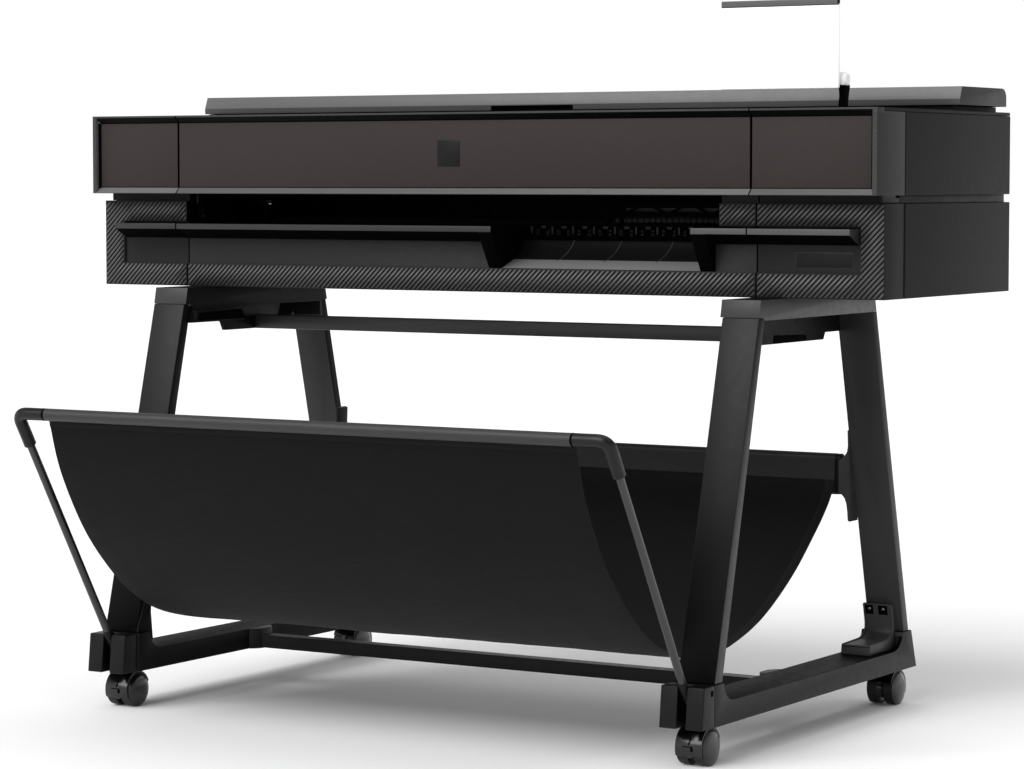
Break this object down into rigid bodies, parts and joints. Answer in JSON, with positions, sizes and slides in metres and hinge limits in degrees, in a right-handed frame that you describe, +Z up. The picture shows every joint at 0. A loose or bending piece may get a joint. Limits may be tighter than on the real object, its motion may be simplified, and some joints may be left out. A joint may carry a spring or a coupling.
{
  "type": "large format plotter",
  "caption": "Wide roll plotter on a wheeled A-frame stand, with a flip-up front cover, rear roll cover, tilting touch panel, sheet exit ledge and hanging fabric catch basket.",
  "frame": {"origin": "on the floor, in the middle of the footprint", "axes": "+Z up, +X to the right of someone facing the front, front towards -Y"},
  "size_m": [1.34, 0.8951, 1.036],
  "materials": {
    "shell": "fine-grained moulded plastic, dark grey",
    "fascia": "fine-textured warm brown-grey panel in a dark bevelled bezel",
    "ribbed": "dark plastic with fine diagonal ribs",
    "lid": "satin mid grey plastic",
    "dark": "black moulded plastic",
    "screen": "glossy lit touch screen in a dark housing",
    "frame_paint": "dark grey powder coat",
    "steel": "zinc-plated sheet and ground steel",
    "rubber": "matte roller rubber",
    "gloss": "high-gloss black nylon",
    "cloth": "fine plain-woven nylon with a soft sheen"
  },
  "bodies": {
    "root": {"side_cover_upper_left": "shell", "side_cover_upper_right": "shell", "side_cover_lower_left": "shell", "side_cover_lower_right": "shell", "top_deck": "shell", "rear_cover": "shell", "ledge_left": "shell", "ledge_right": "shell", "boot_bracket_left": "shell", "boot_bracket_right": "shell", "foot_cap_left": "shell", "foot_cap_right": "shell", "end_cover": "fascia", "lower_cover_left": "ribbed", "lower_cover_right": "ribbed", "apron": "ribbed", "output_ramp": "dark", "platen": "dark", "service_station": "dark", "ink_bay": "dark", "panel_base": "dark", "power_inlet": "dark", "foot_beam_left": "frame_paint", "foot_beam_right": "frame_paint", "front_leg_left": "frame_paint", "front_leg_right": "frame_paint", "rear_leg_left": "frame_paint", "rear_leg_right": "frame_paint", "top_beam_left": "frame_paint", "top_beam_right": "frame_paint", "upper_crossbar": "frame_paint", "lower_crossbar": "frame_paint", "rear_rail": "frame_paint", "chassis_tray": "steel", "side_plate_left": "steel", "side_plate_right": "steel", "carriage_rail": "steel", "basket_cloth": "cloth"},
    "front_door": {"front_door": "fascia"},
    "ink_door": {"ink_door": "fascia"},
    "roll_cover": {"roll_cover": "lid"},
    "touch_panel": {"touch_panel": "screen"},
    "carriage": {"carriage": "dark"},
    "drive_roller": {"drive_roller": "rubber"},
    "pinch_roller": {"pinch_roller": "rubber"},
    "spindle": {"spindle": "dark"},
    "basket_bar": {"basket_front_tube": "frame_paint", "basket_elbow_left": "shell", "basket_elbow_right": "shell", "basket_rod_left": "frame_paint", "basket_rod_right": "frame_paint"},
    "caster_front_left": {"caster_fork_front_left": "gloss"},
    "wheels_front_left": {"caster_wheels_front_left": "gloss"},
    "caster_front_right": {"caster_fork_front_right": "gloss"},
    "wheels_front_right": {"caster_wheels_front_right": "gloss"},
    "caster_rear_left": {"caster_fork_rear_left": "gloss"},
    "wheels_rear_left": {"caster_wheels_rear_left": "gloss"},
    "caster_rear_right": {"caster_fork_rear_right": "gloss"},
    "wheels_rear_right": {"caster_wheels_rear_right": "gloss"}
  },
  "joints": [
    {"name": "front_door_hinge", "type": "hinge", "parent": "root", "child": "front_door", "pos_m": [0, -0.01335, 0.884], "axis": [-1, 0, 0], "range_deg": [0, 80]},
    {"name": "ink_door_hinge", "type": "hinge", "parent": "root", "child": "ink_door", "pos_m": [-0.664, 0.05265, 0.827], "axis": [0, 0, -1], "range_deg": [0, 95]},
    {"name": "roll_cover_hinge", "type": "hinge", "parent": "root", "child": "roll_cover", "pos_m": [0, 0.41665, 0.894], "axis": [-1, 0, 0], "range_deg": [0, 80]},
    {"name": "panel_tilt", "type": "hinge", "parent": "root", "child": "touch_panel", "pos_m": [0.53, 0.01465, 0.926], "axis": [-1, 0, 0], "range_deg": [0, 70]},
    {"name": "carriage_slide", "type": "slide", "parent": "root", "child": "carriage", "axis": [1, 0, 0], "range_m": [-0.7, 0.23]},
    {"name": "drive_roller_spin", "type": "hinge", "parent": "root", "child": "drive_roller", "pos_m": [-0.048, 0.23065, 0.7], "axis": [1, 0, 0], "continuous": true},
    {"name": "pinch_roller_spin", "type": "hinge", "parent": "root", "child": "pinch_roller", "pos_m": [-0.048, 0.23065, 0.7223], "axis": [1, 0, 0], "continuous": true},
    {"name": "spindle_spin", "type": "hinge", "parent": "root", "child": "spindle", "pos_m": [-0.048, 0.33265, 0.79], "axis": [1, 0, 0], "continuous": true},
    {"name": "basket_fold", "type": "hinge", "parent": "root", "child": "basket_bar", "pos_m": [0, -0.22435, 0.095], "axis": [-1, 0, 0], "range_deg": [0, 40], "deforming": ["basket_cloth"]},
    {"name": "swivel_front_left", "type": "hinge", "parent": "root", "child": "caster_front_left", "pos_m": [-0.485, -0.17935, 0.05], "axis": [0, 0, 1], "continuous": true},
    {"name": "wheel_front_left", "type": "hinge", "parent": "caster_front_left", "child": "wheels_front_left", "pos_m": [-0.485, -0.19135, 0.025], "axis": [1, 0, 0], "continuous": true},
    {"name": "swivel_front_right", "type": "hinge", "parent": "root", "child": "caster_front_right", "pos_m": [0.485, -0.17935, 0.05], "axis": [0, 0, 1], "continuous": true},
    {"name": "wheel_front_right", "type": "hinge", "parent": "caster_front_right", "child": "wheels_front_right", "pos_m": [0.485, -0.19135, 0.025], "axis": [1, 0, 0], "continuous": true},
    {"name": "swivel_rear_left", "type": "hinge", "parent": "root", "child": "caster_rear_left", "pos_m": [-0.485, 0.40165, 0.05], "axis": [0, 0, 1], "continuous": true},
    {"name": "wheel_rear_left", "type": "hinge", "parent": "caster_rear_left", "child": "wheels_rear_left", "pos_m": [-0.485, 0.41365, 0.025], "axis": [1, 0, 0], "continuous": true},
    {"name": "swivel_rear_right", "type": "hinge", "parent": "root", "child": "caster_rear_right", "pos_m": [0.485, 0.40165, 0.05], "axis": [0, 0, 1], "continuous": true},
    {"name": "wheel_rear_right", "type": "hinge", "parent": "caster_rear_right", "child": "wheels_rear_right", "pos_m": [0.485, 0.41365, 0.025], "axis": [1, 0, 0], "continuous": true}
  ],
  "couplings": [
    {"joint": "pinch_roller_spin", "follows": "drive_roller_spin", "ratio": -1.4444}
  ]
}
